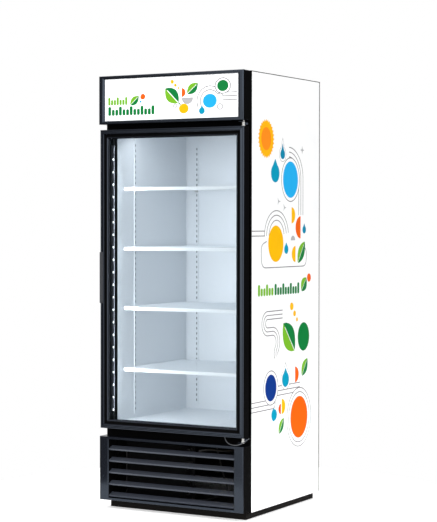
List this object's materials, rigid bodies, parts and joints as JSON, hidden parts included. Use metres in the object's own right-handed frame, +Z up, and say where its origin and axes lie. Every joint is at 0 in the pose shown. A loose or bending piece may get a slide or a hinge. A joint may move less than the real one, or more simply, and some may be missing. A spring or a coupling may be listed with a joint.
{
  "type": "glass door merchandiser",
  "caption": "Upright refrigerated display cabinet with a swing glass door, lit header, wire shelves and a louvred front grille over its condensing unit.",
  "frame": {"origin": "on the floor, under the middle of the cabinet's overall width and depth", "axes": "+X to the right as seen from the front, +Y to the back, +Z up; the door and grille face -Y"},
  "size_m": [0.762, 0.759, 1.998],
  "materials": {
    "black_paint": "satin",
    "white_paint": "satin",
    "galvanised": "satin",
    "zinc": "satin",
    "aluminium": "satin",
    "dark_iron": "satin",
    "white_wire": "gloss",
    "liner": "satin",
    "sign": "satin",
    "lamp": "satin",
    "glass": "gloss",
    "black_plastic": "matte",
    "nylon": "satin",
    "rubber": "matte",
    "cable": "satin",
    "foam": "matte"
  },
  "bodies": {
    "cabinet": {"base_frame": "black_paint", "compartment_floor": "galvanised", "side_panel_left": "white_paint", "side_panel_right": "white_paint", "top_panel": "white_paint", "back_panel": "galvanised", "rear_grille": "galvanised", "power_gland": "black_plastic", "insulation_foam": "foam", "inner_liner": "liner", "header_wall": "liner", "front_frame": "black_paint", "header_box": "black_paint", "header_bezel": "black_paint", "sign_panel": "sign", "header_lamp": "lamp", "grille_frame": "black_paint", "louvre_1": "black_paint", "louvre_2": "black_paint", "louvre_3": "black_paint", "louvre_4": "black_paint", "louvre_5": "black_paint", "condenser_coil": "aluminium", "fan_shroud": "galvanised", "condenser_fan_motor": "dark_iron", "compressor": "dark_iron", "condensate_pan": "black_plastic", "evaporator_cover": "white_paint", "evaporator_coil": "aluminium", "evaporator_fan_motor": "dark_iron", "pilaster_front_left": "galvanised", "pilaster_front_right": "galvanised", "pilaster_rear_left": "galvanised", "pilaster_rear_right": "galvanised", "hinge_bracket_bottom": "zinc", "hinge_bracket_top": "zinc", "hinge_pin_bottom": "zinc", "hinge_pin_top": "zinc", "hinge_bush_bottom": "nylon", "hinge_bush_top": "nylon", "door_lead": "cable"},
    "door": {"door_rail_bottom": "black_paint", "door_stile_right": "black_paint", "door_rail_top": "black_paint", "door_stile_left": "black_paint", "glass_outer": "glass", "glass_inner": "glass", "glass_spacer": "aluminium", "door_gasket": "rubber", "led_channel": "lamp", "door_handle": "black_plastic", "closer_cartridge": "zinc"},
    "condenser_fan": {"condenser_fan_blade": "aluminium"},
    "evaporator_fan": {"evaporator_fan_blade": "aluminium"},
    "thermostat_knob": {"thermostat_dial": "black_plastic"},
    "switch_rocker": {"light_switch": "black_plastic"},
    "shelf_one": {"shelf_1": "white_wire"},
    "shelf_two": {"shelf_2": "white_wire"},
    "shelf_three": {"shelf_3": "white_wire"},
    "shelf_four": {"shelf_4": "white_wire"}
  },
  "joints": [
    {"name": "door_swing", "type": "hinge", "parent": "cabinet", "child": "door", "pos_m": [0.3625, -0.345, 0.372], "axis": [0, 0, 1], "range_deg": [0, 120], "stiffness_Nm_per_rad": 1.2, "springref_deg": -20.05, "deforming": ["door_lead"]},
    {"name": "condenser_fan_spin", "type": "hinge", "parent": "cabinet", "child": "condenser_fan", "pos_m": [-0.125, -0.202, 0.185], "axis": [0, 1, 0], "continuous": true},
    {"name": "evaporator_fan_spin", "type": "hinge", "parent": "cabinet", "child": "evaporator_fan", "pos_m": [0, -0.14, 1.776], "axis": [0, 0, 1], "continuous": true},
    {"name": "thermostat_turn", "type": "hinge", "parent": "cabinet", "child": "thermostat_knob", "pos_m": [-0.22, -0.19, 1.7547], "axis": [0, 0, 1], "range_deg": [0, 270]},
    {"name": "light_switch_rock", "type": "hinge", "parent": "cabinet", "child": "switch_rocker", "pos_m": [-0.14, -0.19, 1.756], "axis": [0, 1, 0], "range_deg": [-7, 7]},
    {"name": "shelf_1_lift", "type": "slide", "parent": "cabinet", "child": "shelf_one", "axis": [0, 0, 1], "range_m": [0, 0.012]},
    {"name": "shelf_2_lift", "type": "slide", "parent": "cabinet", "child": "shelf_two", "axis": [0, 0, 1], "range_m": [0, 0.012]},
    {"name": "shelf_3_lift", "type": "slide", "parent": "cabinet", "child": "shelf_three", "axis": [0, 0, 1], "range_m": [0, 0.012]},
    {"name": "shelf_4_lift", "type": "slide", "parent": "cabinet", "child": "shelf_four", "axis": [0, 0, 1], "range_m": [0, 0.012]}
  ]
}
